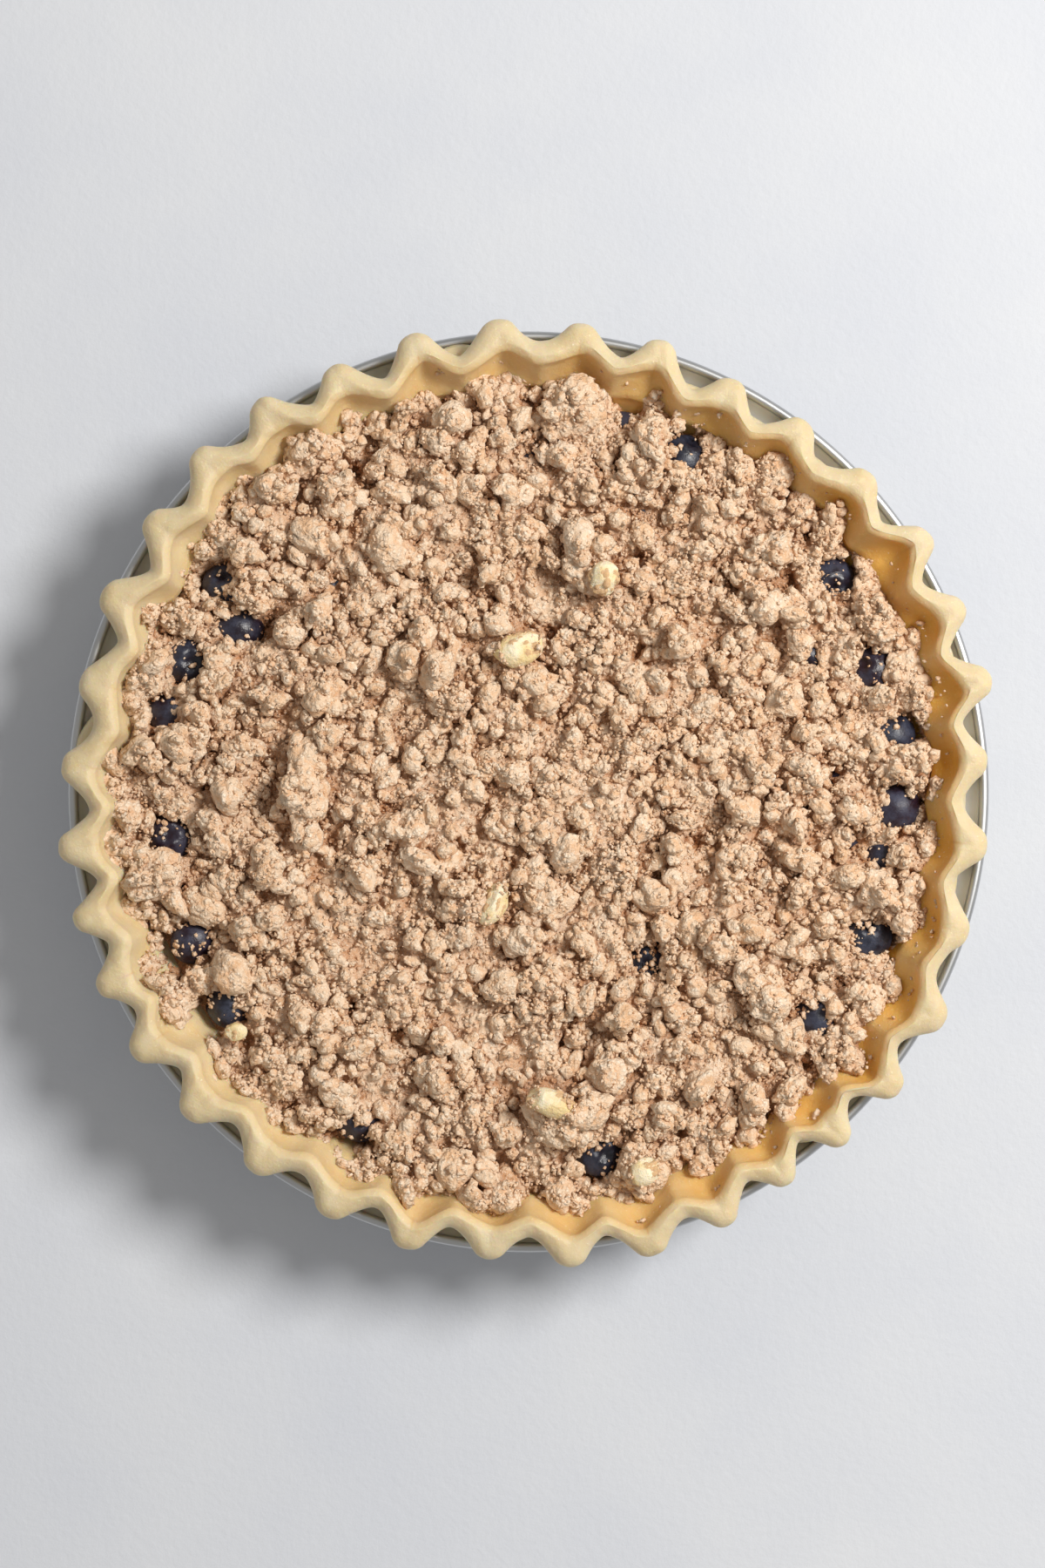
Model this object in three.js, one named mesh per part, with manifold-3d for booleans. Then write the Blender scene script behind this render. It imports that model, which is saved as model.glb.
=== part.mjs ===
// An unbaked blueberry crumble pie in its own metal pie tin, in millimetres, with +Z up.
// The origin is the middle of the tin's underside, which stands on the table.
import * as THREE from "three";
import { mergeVertices } from "three/addons/utils/BufferGeometryUtils.js";
import Module from "manifold-3d";

const wasm = await Module();
wasm.setup();

// Driving dimensions of the tin: a plain pan with sloping sides, a flat rim and a rolled edge.
const TIN_RIM_RADIUS = 124;
const TIN_TOP_RADIUS = 114.3;
const TIN_BASE_RADIUS = 92;
const TIN_DEPTH = 38;
const TIN_METAL = 0.7;
const TIN_CORNER = 2.2;
const TIN_SHOULDER = 1.8;
const TIN_BEAD_RADIUS = 1.4;
const TIN_BEAD_SINK = 0.2;
const TIN_SEGMENTS = 60;

// Driving dimensions of the pastry case and its pinched edge.
const PASTRY_THICKNESS = 4;
const PASTRY_CORNER = 3;
const FLUTES = 36;
const FIRST_FLUTE_DEG = 4;
const FLUTE_DEPTH = 3.8;
const RIDGE_RADIUS = 118;
const RIDGE_HEIGHT = 13;
const RIDGE_DIP = 0.9;
const SWELL_AT_FOOT = 0.6;
const SKIRT_RADIUS = 118.6;
const SKIRT_HEIGHT = 1.4;
const WALL_SEGMENTS = 2 * FLUTES;

// The rows of points of the pinched edge, each as [radius from the ridge, share of the ridge's height,
// share of the flutes' depth, sharpness of their tips, points to a flute]. The outside is blunt at the tips,
// where the roll of dough is folded on itself; the inside is creased there and slopes down to the crumble.
const EDGE_OUTSIDE = [
  [3.3, 0.41, 1, -0.05, 4],
  [4.3, 0.68, 1, -0.05, 8],
  [2.3, 0.91, 1, -0.02, 8],
  [-0.2, 1, 0.78, 0.1, 8],
];
const EDGE_INSIDE = [
  [-3.9, 0.84, 0.5, 0.22, 8],
  [-8.8, 0.08, 0.25, 0.1, 4],
];

// The fingers spaced the flutes unevenly: each row is waves round the pie, degrees, and where it peaks.
const SPACING_WAVES = [
  [1, 1.4, 180],
  [3, 0.75, 99],
  [4, 0.95, 6],
  [6, 0.55, -21],
];

// They also pushed the ridge in and out: waves round the pie, millimetres, and where it peaks.
const RADIUS_WAVES = [
  [1, 0.6, -117],
  [2, 0.55, -153],
  [4, 0.95, 99],
  [6, 0.8, 139],
  [7, 0.85, 175],
  [9, 0.6, 42],
];

// The berries and the crumble inside.
const GAP = 0.3;
const FILLING_TOP = 32;
const BERRY_RADIUS = 7.2;
const BERRY_UNEVENNESS = 0.03;
const BERRY_CENTRE = 35.5;
const BERRY_CLEARANCE = 0.7;
const CRUMBLE_EDGE_RADIUS = 111;
const CRUMBLE_EDGE_TOP = 42.5;
const CRUMBLE_MIDDLE_TOP = 46;
const CRUMBLE_CLEARANCE = 1.5;
const FOOT_HEIGHT = EDGE_INSIDE.at(-1)[1] * RIDGE_HEIGHT;
const ROOM_STEPS_PER_FLUTE = 3;
const RUBBLE_RADIUS = 106.4;
const RUBBLE_RINGS = 14;
const RUBBLE_BUMP = 2;
const RUBBLE_JITTER = 0.25;
const CORE_SEGMENTS = 36;

// Where berries show between the crumbs: [x, y, radius of the opening], from the middle of the pie.
const BERRIES_SHOWING = [
  [43.7, 94.2, 5],
  [83.9, 58.4, 5],
  [92.5, 33.2, 4.4],
  [101, 16, 4.8],
  [100.2, -4.4, 5.4],
  [93.8, -39.8, 5.4],
  [19.4, -99, 5.2],
  [-96.6, -12.3, 5.4],
  [-94.6, -42.3, 6.8],
  [-85.6, -60.4, 6.8],
  [-48, -93, 5.8],
  [-85.1, 57.9, 5.2],
  [-92, 35.6, 4.6],
  [-98.1, 21.6, 4.2],
];

// The hollow round such a berry, and its opening through the crumble, both six-sided.
const WELL_SIDES = 6;
const WELL_DEPTH = 4;
const WELL_SHOULDER = 3;
const WELL_FLARE = 2;
const ABOVE_ALL = 60;

// The largest clumps of crumble: [x, y, length, width, turn in degrees].
const LARGE_CLUMPS = [
  [-57.9, 90.9, 21, 16.5, 10],
  [-74, 53.6, 15, 12.5, 20],
  [-21.4, 24.4, 16, 14, -30],
  [-60.7, -0.7, 14, 19, 15],
  [-102, 32.5, 12, 16, 20],
  [-100, 10, 15, 13, 30],
  [-69, 80, 16, 12, 40],
  [11.6, 103.2, 21, 19, 20],
  [31.6, 89, 15, 18.5, -20],
  [15.8, 60.9, 16.5, 18, 35],
  [80.6, 70, 10, 17, -20],
  [93, 46.7, 13, 12.5, 0],
  [102, 29.3, 16, 16.5, 40],
  [-99.7, -23.2, 19.5, 14.5, 25],
  [-15.1, -29.8, 14, 14, 20],
  [-73.2, -39.8, 11.5, 11, 0],
  [-6, -107.5, 15, 13.5, 0],
  [43.1, -44.9, 15.5, 15.5, 0],
  [63.7, -51.8, 13, 14.5, 20],
  [30.2, -100, 17, 19.5, -20],
  [7.8, -87.9, 18, 20, 30],
  [108, -14, 12, 14.5, -30],
  [91, -56, 14, 11, 60],
  [-73.2, -79.5, 13, 11, -40],
];
const CLUMP_FLATNESS = 0.62;
const CLUMP_LIFT = 0.08;
const CLUMP_UNEVENNESS = 0.12;

const SEED = 4228;

const COLOURS = { tin: 0xa9abad, pastry: 0xead9a8, berry: 0x1d1b2b, crumble: 0xd0aa80 };

const TAU = 2 * Math.PI;
const radians = THREE.MathUtils.degToRad;
const mix = THREE.MathUtils.lerp;

// Repeatable random numbers from 0 to 1.
function seeded(seed) {
  let state = seed;
  return () => {
    state = (state + 0x6d2b79f5) | 0;
    let t = Math.imul(state ^ (state >>> 15), 1 | state);
    t = (t + Math.imul(t ^ (t >>> 7), 61 | t)) ^ t;
    return ((t ^ (t >>> 14)) >>> 0) / 4294967296;
  };
}

// The sum of a few slow waves round the pie at an angle in radians.
function slowWaves(rows, angle) {
  return rows.reduce((sum, [waves, size, peak]) => sum + size * Math.cos(waves * angle - radians(peak)), 0);
}

// A closed ring of points round the pie, from a function of the angle that gives [angle, radius, height].
function ring(count, place) {
  return Array.from({ length: count }, (_, i) => {
    const [angle, radius, height] = place((i * TAU) / count);
    return new THREE.Vector3(radius * Math.cos(angle), radius * Math.sin(angle), height);
  });
}

// Joins rings of any number of points into one closed surface. The first and last ring are single points.
function surfaceOf(rings) {
  const points = rings.flat();
  const faces = [];
  let start = 0;
  for (let k = 0; k + 1 < rings.length; k += 1) {
    const [na, nb] = [rings[k].length, rings[k + 1].length];
    const a = (i) => start + (i % na);
    const b = (j) => start + na + (j % nb);
    const stepsA = na > 1 ? na : 0;
    const stepsB = nb > 1 ? nb : 0;
    let [i, j] = [0, 0];
    while (i < stepsA || j < stepsB) {
      const advanceA = j >= stepsB || (i < stepsA && (i + 1) * stepsB <= (j + 1) * stepsA);
      if (advanceA) {
        faces.push(a(i), a(i + 1), b(j));
        i += 1;
      } else {
        faces.push(a(i), b(j + 1), b(j));
        j += 1;
      }
    }
    start += na;
  }
  const geometry = new THREE.BufferGeometry().setFromPoints(points);
  geometry.setIndex(faces);
  return geometry;
}

// A closed three.js geometry as a manifold solid, and a manifold solid as a geometry.
function solidOf(geometry) {
  const bare = geometry.clone().deleteAttribute("normal").deleteAttribute("uv");
  const merged = mergeVertices(bare, 1e-4);
  return new wasm.Manifold(
    new wasm.Mesh({
      numProp: 3,
      vertProperties: merged.attributes.position.array,
      triVerts: new Uint32Array(merged.index.array),
    }),
  );
}

function geometryOf(solid) {
  const mesh = solid.getMesh();
  return new THREE.BufferGeometry()
    .setAttribute("position", new THREE.BufferAttribute(mesh.vertProperties, 3))
    .setIndex(new THREE.BufferAttribute(mesh.triVerts, 1));
}

// The largest of a solid's separate bodies, so that no loose scrap stays.
function mainBody(solid) {
  return solid.decompose().reduce((best, body) => (body.volume() > best.volume() ? body : best));
}

// The tin's wall leans outwards; this is the radius of its outer face at a height.
const WALL_SLOPE = (TIN_TOP_RADIUS + TIN_METAL - TIN_BASE_RADIUS) / TIN_DEPTH;
const WALL_LEAN = Math.hypot(1, WALL_SLOPE);
const tinOuter = (z) => TIN_BASE_RADIUS + WALL_SLOPE * z;
const tinInner = (z) => tinOuter(z) - TIN_METAL * WALL_LEAN;
const pastryOuter = (z) => tinInner(z) - GAP * WALL_LEAN;
const pastryInner = (z) => pastryOuter(z) - PASTRY_THICKNESS * WALL_LEAN;

const PASTRY_UNDERSIDE = TIN_METAL + GAP;
const PASTRY_FLOOR = PASTRY_UNDERSIDE + PASTRY_THICKNESS;
const RIM_TOP = TIN_DEPTH + TIN_METAL;

// The metal tin: one profile turned round the axis, from the middle of the inside over the rim and back.
function tin() {
  const bead = [150, 75, 0, -90].map((degrees) => [
    TIN_RIM_RADIUS - TIN_BEAD_RADIUS * (1 - Math.cos(radians(degrees))),
    RIM_TOP - TIN_BEAD_SINK + TIN_BEAD_RADIUS * Math.sin(radians(degrees)),
  ]);
  const inside = [
    [0, TIN_METAL],
    [tinInner(TIN_METAL) - TIN_CORNER, TIN_METAL],
    [tinInner(TIN_METAL + TIN_CORNER), TIN_METAL + TIN_CORNER],
    [tinInner(RIM_TOP - TIN_SHOULDER), RIM_TOP - TIN_SHOULDER],
    [TIN_TOP_RADIUS + TIN_SHOULDER, RIM_TOP],
    [SKIRT_RADIUS, RIM_TOP],
  ];
  const outside = [
    [TIN_TOP_RADIUS + TIN_SHOULDER + TIN_METAL / 2, TIN_DEPTH],
    [tinOuter(TIN_DEPTH - TIN_SHOULDER), TIN_DEPTH - TIN_SHOULDER],
    [tinOuter(TIN_CORNER), TIN_CORNER],
    [TIN_BASE_RADIUS - TIN_CORNER, 0],
    [0, 0],
  ];
  const profile = [...inside, ...bead, ...outside].reverse().map(([r, z]) => new THREE.Vector2(r, z));
  return new THREE.LatheGeometry(profile, TIN_SEGMENTS).rotateX(Math.PI / 2);
}

// How far a flute is out, from 1 at its pinched tip to -1 in the hollow between two tips. The sharper it is,
// the narrower are its tips and the wider its hollows.
function fluteWave(angle, sharpness) {
  const turn = FLUTES * angle;
  return Math.cos(turn) + sharpness * (Math.cos(2 * turn) - 1);
}

// The direction, with the fingers' uneven spacing, of what would lie at this angle if all flutes were alike.
const fluteDirection = (angle) => angle + radians(FIRST_FLUTE_DEG + slowWaves(SPACING_WAVES, angle));

// A fluted ring from a row of the pinched edge.
function flutedRing([out, height, share, sharpness, steps]) {
  return ring(FLUTES * steps, (angle) => {
    const wave = fluteWave(angle, sharpness);
    const swell = Math.min(1, SWELL_AT_FOOT + height) * slowWaves(RADIUS_WAVES, angle);
    const radius = RIDGE_RADIUS + out + swell + share * FLUTE_DEPTH * wave;
    return [fluteDirection(angle), radius, RIM_TOP + height * (RIDGE_HEIGHT - RIDGE_DIP * Math.max(wave, 0))];
  });
}

// The pastry case: from the middle of its underside up the tin's wall, over the fluted edge and back inside.
function pastry() {
  const plain = (radius, height) => ring(WALL_SEGMENTS, (angle) => [fluteDirection(angle), radius, height]);
  const corner = PASTRY_UNDERSIDE + TIN_CORNER;
  const onRim = RIM_TOP + GAP;
  return surfaceOf([
    [new THREE.Vector3(0, 0, PASTRY_UNDERSIDE)],
    plain(pastryOuter(PASTRY_UNDERSIDE) - TIN_CORNER, PASTRY_UNDERSIDE),
    plain(pastryOuter(corner), corner),
    plain(pastryOuter(onRim - TIN_SHOULDER), onRim - TIN_SHOULDER),
    plain(TIN_TOP_RADIUS + TIN_SHOULDER - GAP, onRim),
    plain(SKIRT_RADIUS - SKIRT_HEIGHT, onRim),
    plain(SKIRT_RADIUS, RIM_TOP + SKIRT_HEIGHT),
    ...[...EDGE_OUTSIDE, ...EDGE_INSIDE].map(flutedRing),
    plain(pastryInner(RIM_TOP - PASTRY_THICKNESS), RIM_TOP - PASTRY_THICKNESS),
    plain(pastryInner(PASTRY_FLOOR + PASTRY_CORNER), PASTRY_FLOOR + PASTRY_CORNER),
    plain(pastryInner(PASTRY_FLOOR) - PASTRY_CORNER, PASTRY_FLOOR),
    [new THREE.Vector3(0, 0, PASTRY_FLOOR)],
  ]);
}

// One rounded, uneven lump: a ball whose corners are moved in and out, stretched to three sizes.
function lump(random, detail, unevenness, [length, width, height]) {
  const ball = mergeVertices(
    new THREE.IcosahedronGeometry(1, detail).deleteAttribute("normal").deleteAttribute("uv"),
    1e-4,
  );
  const corners = ball.attributes.position;
  for (let i = 0; i < corners.count; i += 1) {
    const reach = 1 + unevenness * (2 * random() - 1);
    corners.setXYZ(i, corners.getX(i) * reach, corners.getY(i) * reach, corners.getZ(i) * reach);
  }
  return ball.scale(length / 2, width / 2, height / 2);
}

// A berry's middle: where it shows, but no further out than the pastry wall lets it lie.
function berryPlace([x, y]) {
  const room = BERRY_RADIUS * (1 + BERRY_UNEVENNESS) + GAP;
  const reach = pastryInner(BERRY_CENTRE) - room * WALL_LEAN;
  const share = Math.min(1, reach / Math.hypot(x, y));
  return [x * share, y * share, BERRY_CENTRE];
}

// The blueberry filling: the core that fills the case, with the berries that show fused on top.
function filling(random) {
  const edge = (height) => ring(CORE_SEGMENTS, (angle) => [angle, pastryInner(height) - 2 * GAP, height]);
  const bottom = PASTRY_FLOOR + GAP;
  const core = surfaceOf([
    [new THREE.Vector3(0, 0, bottom)],
    ring(CORE_SEGMENTS, (angle) => [angle, pastryInner(PASTRY_FLOOR) - PASTRY_CORNER - GAP, bottom]),
    edge(PASTRY_FLOOR + PASTRY_CORNER),
    edge(FILLING_TOP),
    [new THREE.Vector3(0, 0, FILLING_TOP)],
  ]);
  const berries = BERRIES_SHOWING.map((row) => {
    const size = 2 * BERRY_RADIUS;
    return solidOf(lump(random, 1, BERRY_UNEVENNESS, [size, size, size]).translate(...berryPlace(row)));
  });
  return wasm.Manifold.union([solidOf(core), ...berries]);
}

// The smooth height of the crumble at a distance from the middle, before any lump is added.
function domeHeight(radius) {
  const share = Math.min(radius / CRUMBLE_EDGE_RADIUS, 1);
  return mix(CRUMBLE_MIDDLE_TOP, CRUMBLE_EDGE_TOP, share ** 3);
}

// The room that the crumble leaves for a berry: a hollow round it, and the opening that shows it.
function well(row) {
  const [x, y, opening] = row;
  const foot = (BERRY_RADIUS + BERRY_CLEARANCE) / Math.cos(Math.PI / WELL_SIDES);
  const profile = [
    [0, FILLING_TOP - WELL_DEPTH],
    [foot, FILLING_TOP - WELL_DEPTH],
    [foot, BERRY_CENTRE + WELL_SHOULDER],
    [Math.min(foot, opening), BERRY_CENTRE + BERRY_RADIUS],
    [opening + WELL_FLARE, ABOVE_ALL],
    [0, ABOVE_ALL],
  ].map(([r, z]) => new THREE.Vector2(r, z));
  const [berryX, berryY] = berryPlace(row);
  const round = new THREE.LatheGeometry(profile, WELL_SIDES).rotateX(Math.PI / 2);
  const hollow = solidOf(round.translate(berryX, berryY, 0));
  if (berryX === x) return hollow;
  const length = ABOVE_ALL - BERRY_CENTRE;
  const shaft = new THREE.CylinderGeometry(opening + WELL_FLARE, opening, length, WELL_SIDES);
  return hollow.add(solidOf(shaft.rotateX(Math.PI / 2).translate(x, y, BERRY_CENTRE + length / 2)));
}

// How far out the core of the crumble reaches in a direction: to the foot of the pastry's edge, less a
// clearance. The fingers' spacing is so slight that it is taken off by adding it the other way.
function crumbleReach(direction) {
  const [out, height, share] = EDGE_INSIDE.at(-1);
  const angle = 2 * direction - fluteDirection(direction);
  const swell = (SWELL_AT_FOOT + height) * slowWaves(RADIUS_WAVES, angle);
  return RIDGE_RADIUS + out + swell - share * FLUTE_DEPTH - CRUMBLE_CLEARANCE - GAP;
}

// The crumble topping: a core of rubble with the largest clumps fused on, and wells over the berries.
function crumble(random) {
  const bottom = FILLING_TOP + GAP;
  const under = [
    [new THREE.Vector3(0, 0, bottom)],
    ring(CORE_SEGMENTS, (angle) => [angle, pastryInner(bottom) - CRUMBLE_CLEARANCE - GAP, bottom]),
    ring(2 * CORE_SEGMENTS, (angle) => [angle, crumbleReach(angle), RIM_TOP + FOOT_HEIGHT]),
  ];
  const spacing = RUBBLE_RADIUS / RUBBLE_RINGS;
  const jitter = (size) => size * (2 * random() - 1);
  const rubble = Array.from({ length: RUBBLE_RINGS }, (_, k) =>
    ring(6 * (k + 1), (angle) => {
      if (k === RUBBLE_RINGS - 1) {
        return [angle, crumbleReach(angle), CRUMBLE_EDGE_TOP + jitter(RUBBLE_BUMP)];
      }
      const radius = (k + 1) * spacing + jitter(RUBBLE_JITTER * spacing);
      const turn = jitter(RUBBLE_JITTER) / (k + 1);
      return [angle + turn, radius, domeHeight(radius) + jitter(RUBBLE_BUMP)];
    }),
  );
  const top = [new THREE.Vector3(0, 0, domeHeight(0))];
  const core = solidOf(surfaceOf([...under, ...rubble.toReversed(), top]));
  const large = LARGE_CLUMPS.map(([x, y, length, width, turn]) => {
    const height = CLUMP_FLATNESS * Math.min(length, width);
    const centre = domeHeight(Math.hypot(x, y)) + CLUMP_LIFT * height;
    const clump = lump(random, 1, CLUMP_UNEVENNESS, [length, width, height]).rotateZ(radians(turn));
    return solidOf(clump.translate(x, y, centre));
  });
  const heap = wasm.Manifold.union([core, ...large]);
  const openings = wasm.Manifold.union(BERRIES_SHOWING.map(well));
  return mainBody(heap.subtract(openings).intersect(roomForCrumble(bottom)));
}

// The room for crumble inside the pastry: its plain wall, then the fluted edge, a clearance away from both.
function roomForCrumble(bottom) {
  const plain = (height) =>
    ring(WALL_SEGMENTS, (angle) => [fluteDirection(angle), pastryInner(height) - CRUMBLE_CLEARANCE, height]);
  const edge = EDGE_INSIDE.toReversed().map(([out, ...shape]) =>
    flutedRing([out - CRUMBLE_CLEARANCE, ...shape.with(-1, ROOM_STEPS_PER_FLUTE)]),
  );
  const above = edge.at(-1).map((point) => point.clone().setZ(ABOVE_ALL));
  return solidOf(
    surfaceOf([
      [new THREE.Vector3(0, 0, bottom)],
      plain(bottom),
      plain(RIM_TOP - PASTRY_THICKNESS),
      ...edge,
      above,
      [new THREE.Vector3(0, 0, ABOVE_ALL)],
    ]),
  );
}

function piece(name, geometry, colour, roughness, metalness = 0) {
  const material = new THREE.MeshStandardMaterial({ color: colour, roughness, metalness, flatShading: true });
  const mesh = new THREE.Mesh(geometry, material);
  mesh.name = name;
  return mesh;
}

const pie = new THREE.Group();
pie.add(
  piece("pie_tin", tin(), COLOURS.tin, 0.35, 1),
  piece("pastry_case", pastry(), COLOURS.pastry, 0.6),
  piece("blueberry_filling", geometryOf(filling(seeded(SEED))), COLOURS.berry, 0.3),
  piece("crumble_topping", geometryOf(crumble(seeded(SEED + 1))), COLOURS.crumble, 0.9),
);

export default pie;
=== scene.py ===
import bpy
import numpy as np
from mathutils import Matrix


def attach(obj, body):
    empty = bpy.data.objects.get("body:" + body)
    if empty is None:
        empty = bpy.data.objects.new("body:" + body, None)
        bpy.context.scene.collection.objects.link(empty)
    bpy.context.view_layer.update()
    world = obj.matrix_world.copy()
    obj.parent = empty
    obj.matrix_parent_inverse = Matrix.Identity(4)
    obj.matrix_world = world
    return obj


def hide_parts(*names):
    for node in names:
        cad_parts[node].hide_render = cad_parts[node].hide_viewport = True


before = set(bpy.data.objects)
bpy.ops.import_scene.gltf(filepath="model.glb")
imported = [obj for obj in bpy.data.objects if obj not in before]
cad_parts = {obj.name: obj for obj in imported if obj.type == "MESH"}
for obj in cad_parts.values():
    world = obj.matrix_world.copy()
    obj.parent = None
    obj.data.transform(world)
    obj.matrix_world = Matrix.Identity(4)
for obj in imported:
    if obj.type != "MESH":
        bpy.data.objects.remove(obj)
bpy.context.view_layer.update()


# The camera looks straight down on the pie from a metre above the tin's rim, through a long lens.
# Its place follows from where the round rim lies in the upright photo of 1200 x 1800 pixels.
CAMERA_LENS = 85
CAMERA_SENSOR = 36
CAMERA_PLACE = (-0.00164, 0.0021, 1.0357)

camera = bpy.data.objects.new("camera", bpy.data.cameras.new("camera"))
camera.data.lens = CAMERA_LENS
camera.data.sensor_fit = "VERTICAL"
camera.data.sensor_width = camera.data.sensor_height = CAMERA_SENSOR
camera.location = CAMERA_PLACE
bpy.context.scene.collection.objects.link(camera)
bpy.context.scene.camera = camera


# The pie tin is one sheet of plain aluminium pressed into a round pan with sloping sides.
# Its rim is flat, and the edge of the rim is rolled under into a bead. All sizes are in millimetres.
MM = 0.001
TIN_RIM_RADIUS = 124
TIN_TOP_RADIUS = 114.3
TIN_BASE_RADIUS = 92
TIN_DEPTH = 38
TIN_METAL = 0.7
TIN_BEAD_RADIUS = 1.4
TIN_COLUMNS = 288
RIM_TOP = TIN_DEPTH + TIN_METAL
WALL_SLOPE = (TIN_TOP_RADIUS + TIN_METAL - TIN_BASE_RADIUS) / TIN_DEPTH
WALL_LEAN = np.hypot(1, WALL_SLOPE)


def rounded(corners, steps=8):
    """A profile of (radius, height) points. A corner (radius, height, cut) becomes a parabola that starts
    `cut` before the corner, ends `cut` behind it and touches both straight stretches there."""
    corners = np.array(corners, float)
    line = [corners[0, :2]]
    share = np.linspace(0, 1, steps)[:, None]
    for before, corner, after in zip(corners[:-2], corners[1:-1], corners[2:]):
        middle, cut = corner[:2], corner[2]
        if cut == 0:
            line.append(middle)
            continue
        start = middle + cut * (before[:2] - middle) / np.linalg.norm(before[:2] - middle)
        end = middle + cut * (after[:2] - middle) / np.linalg.norm(after[:2] - middle)
        line.extend((1 - share) ** 2 * start + 2 * share * (1 - share) * middle + share**2 * end)
    line.append(corners[-1, :2])
    return np.array(line)


def ring_faces(rings, columns):
    """Triangles that join a pole, `rings` rings of `columns` points and a second pole. Faces point outwards
    where the rings run from the underside round the outside to the top."""
    here = np.arange(columns)
    beyond = np.roll(here, -1)
    low = 1 + columns * np.arange(rings - 1)[:, None]
    a, b, c, d = low + here, low + beyond, low + columns + beyond, low + columns + here
    sides = np.concatenate([np.stack([a, b, c], -1), np.stack([a, c, d], -1)]).reshape(-1, 3)
    last = 1 + columns * (rings - 1)
    under = np.stack([0 * here, 1 + beyond, 1 + here], -1)
    over = np.stack([0 * here + last + columns, last + here, last + beyond], -1)
    return np.concatenate([under, sides, over])


def made_mesh(name, points, faces, finish, marks=()):
    """A smooth mesh object from points in millimetres and triangles. Each of `marks` is one number a point,
    kept as an attribute that the finish reads."""
    mesh = bpy.data.meshes.new(name)
    mesh.vertices.add(len(points))
    mesh.vertices.foreach_set("co", (np.asarray(points) * MM).astype(np.float32).ravel())
    mesh.loops.add(faces.size)
    mesh.loops.foreach_set("vertex_index", faces.astype(np.int32).ravel())
    mesh.polygons.add(len(faces))
    mesh.polygons.foreach_set("loop_start", np.arange(0, faces.size, 3, dtype=np.int32))
    mesh.update(calc_edges=True)
    mesh.shade_smooth()
    for mark, values in dict(marks).items():
        layer = mesh.attributes.new(mark, "FLOAT", "POINT")
        layer.data.foreach_set("value", np.asarray(values, np.float32).ravel())
    mesh.materials.append(finish)
    made = bpy.data.objects.new(name, mesh)
    bpy.context.scene.collection.objects.link(made)
    return made


class Wire:
    """An output socket in a material's nodes. Between wires and numbers, + - * and ** add Math nodes."""

    def __init__(self, tree, socket=None):
        self.tree = tree
        self.socket = socket

    def feed(self, node, inputs):
        """Sets each named or numbered input of a node to a value, or links a wire to it."""
        for name, value in dict(inputs).items():
            if isinstance(value, Wire):
                self.tree.links.new(value.socket, node.inputs[name])
            else:
                node.inputs[name].default_value = value

    def node(self, kind, settings=(), inputs=(), output=0):
        """Adds a node of any kind: first its settings, then its inputs."""
        made = self.tree.nodes.new(kind)
        for name, value in dict(settings).items():
            setattr(made, name, value)
        self.feed(made, inputs)
        return Wire(self.tree, made.outputs[output])

    def math(self, operation, *values):
        """One Math node on wires and numbers."""
        return self.node("ShaderNodeMath", {"operation": operation}, enumerate(values))

    def __add__(self, other):
        return self.math("ADD", self, other)

    def __sub__(self, other):
        return self.math("SUBTRACT", self, other)

    def __rsub__(self, other):
        return self.math("SUBTRACT", other, self)

    def __mul__(self, other):
        return self.math("MULTIPLY", self, other)

    def __pow__(self, other):
        return self.math("POWER", self, other)

    __radd__ = __add__
    __rmul__ = __mul__

    def between(self, low, high):
        """How far the value is on its way from low to high, kept from 0 to 1."""
        inputs = {"Value": self, "From Min": low, "From Max": high}
        return self.node("ShaderNodeMapRange", {"clamp": True}, inputs)

    def blend(self, first, second):
        """A colour from `first` where this value is 0 to `second` where it is 1."""
        return self.node("ShaderNodeMix", {"data_type": "RGBA"}, {0: self, 6: first, 7: second}, 2)

    def noise(self, scale, detail=2.0, roughness=0.5, output=0):
        """Cloudy noise at this place, with `scale` waves to the millimetre."""
        inputs = {"Vector": self, "Scale": scale, "Detail": detail, "Roughness": roughness}
        return self.node("ShaderNodeTexNoise", {}, inputs, output)

    def cells(self, scale, output=0):
        """Distance from the nearest of scattered points, with `scale` points to the millimetre. Output 1 is a
        random colour for each point's cell."""
        return self.node("ShaderNodeTexVoronoi", {}, {"Vector": self, "Scale": scale}, output)

    def mark(self, name):
        """The number that the mesh keeps at each point under this name."""
        return self.node("ShaderNodeAttribute", {"attribute_name": name}, output="Fac")

    def bump(self, height, depth):
        """A surface normal from a height of 0 to 1 that stands for `depth` millimetres."""
        return self.node("ShaderNodeBump", {}, {"Height": height, "Distance": depth * MM, "Strength": 1.0})


def linear(red, green, blue):
    """The linear red, green, blue and alpha that shaders take, from sRGB values of 0 to 255."""
    shown = np.array([red, green, blue]) / 255
    light = np.where(shown <= 0.04045, shown / 12.92, ((shown + 0.055) / 1.055) ** 2.4)
    return (*light.tolist(), 1.0)


def new_finish(name):
    """A new material: returns it, its shader node and a wire that holds the place in millimetres."""
    material = bpy.data.materials.new(name)
    material.use_nodes = True
    start = Wire(material.node_tree)
    place = start.node("ShaderNodeTexCoord", output="Object")
    scaled = place.node("ShaderNodeVectorMath", {"operation": "SCALE"}, {0: place, "Scale": 1 / MM})
    return material, material.node_tree.nodes["Principled BSDF"], scaled


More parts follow.
